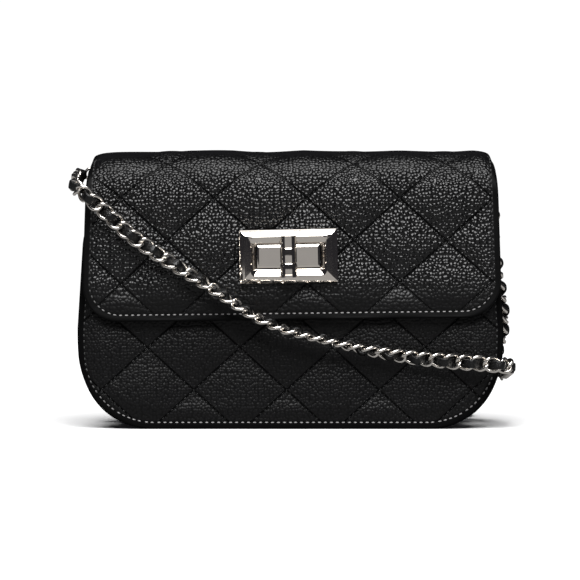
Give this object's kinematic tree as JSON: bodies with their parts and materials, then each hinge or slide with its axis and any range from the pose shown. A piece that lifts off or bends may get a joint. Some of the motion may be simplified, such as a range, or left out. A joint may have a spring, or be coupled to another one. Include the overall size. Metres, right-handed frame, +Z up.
{
  "type": "crossbody purse",
  "caption": "Small quilted leather crossbody bag with a front flap, a turn lock and a chain strap laced with leather.",
  "frame": {"origin": "middle of the footprint, on the surface the bag stands on", "axes": "+X to the viewer's right when facing the front, +Y from the front to the back, +Z up"},
  "size_m": [0.2263, 0.157, 0.14],
  "materials": {
    "leather": "satin",
    "foam": "matte",
    "board": "matte",
    "lining": "matte",
    "polished_metal": "polished",
    "plain_steel": "satin",
    "chain_metal": "polished",
    "strap": "satin",
    "thread": "satin",
    "tie_band": "matte"
  },
  "bodies": {
    "bag": {"front_panel_outer": "leather", "front_padding": "foam", "front_board": "board", "front_lining": "lining", "back_panel_outer": "leather", "back_padding": "foam", "back_board": "board", "back_lining": "lining", "gusset_outer": "leather", "gusset_board": "board", "gusset_lining": "lining", "keeper_plate": "polished_metal", "keeper_backing": "plain_steel", "keeper_rivets": "polished_metal", "side_tab_left": "leather", "side_tab_right": "leather", "d_ring_left": "chain_metal", "d_ring_right": "chain_metal", "strap_link_left": "chain_metal", "strap_link_right": "chain_metal", "strap_front": "strap", "strap_side": "strap", "strap_hank": "strap", "strap_tie": "tie_band"},
    "flap": {"flap_outer": "leather", "flap_padding": "foam", "flap_board": "board", "flap_lining": "lining", "lock_frame": "polished_metal", "lock_pad_plate": "polished_metal", "lock_backplate": "plain_steel", "lock_screws": "plain_steel", "lock_washer": "plain_steel"},
    "lock": {"lock_turn_bar": "polished_metal", "lock_lug": "polished_metal"}
  },
  "joints": [
    {"name": "flap_open", "type": "hinge", "parent": "bag", "child": "flap", "pos_m": [0, 0.0314, 0.1348], "axis": [-1, 0, 0], "range_deg": [0, 180], "deforming": ["strap_front"]},
    {"name": "lock_turn", "type": "hinge", "parent": "flap", "child": "lock", "pos_m": [-0.001, -0.0226, 0.087], "axis": [0, 1, 0], "range_deg": [0, 90]}
  ]
}
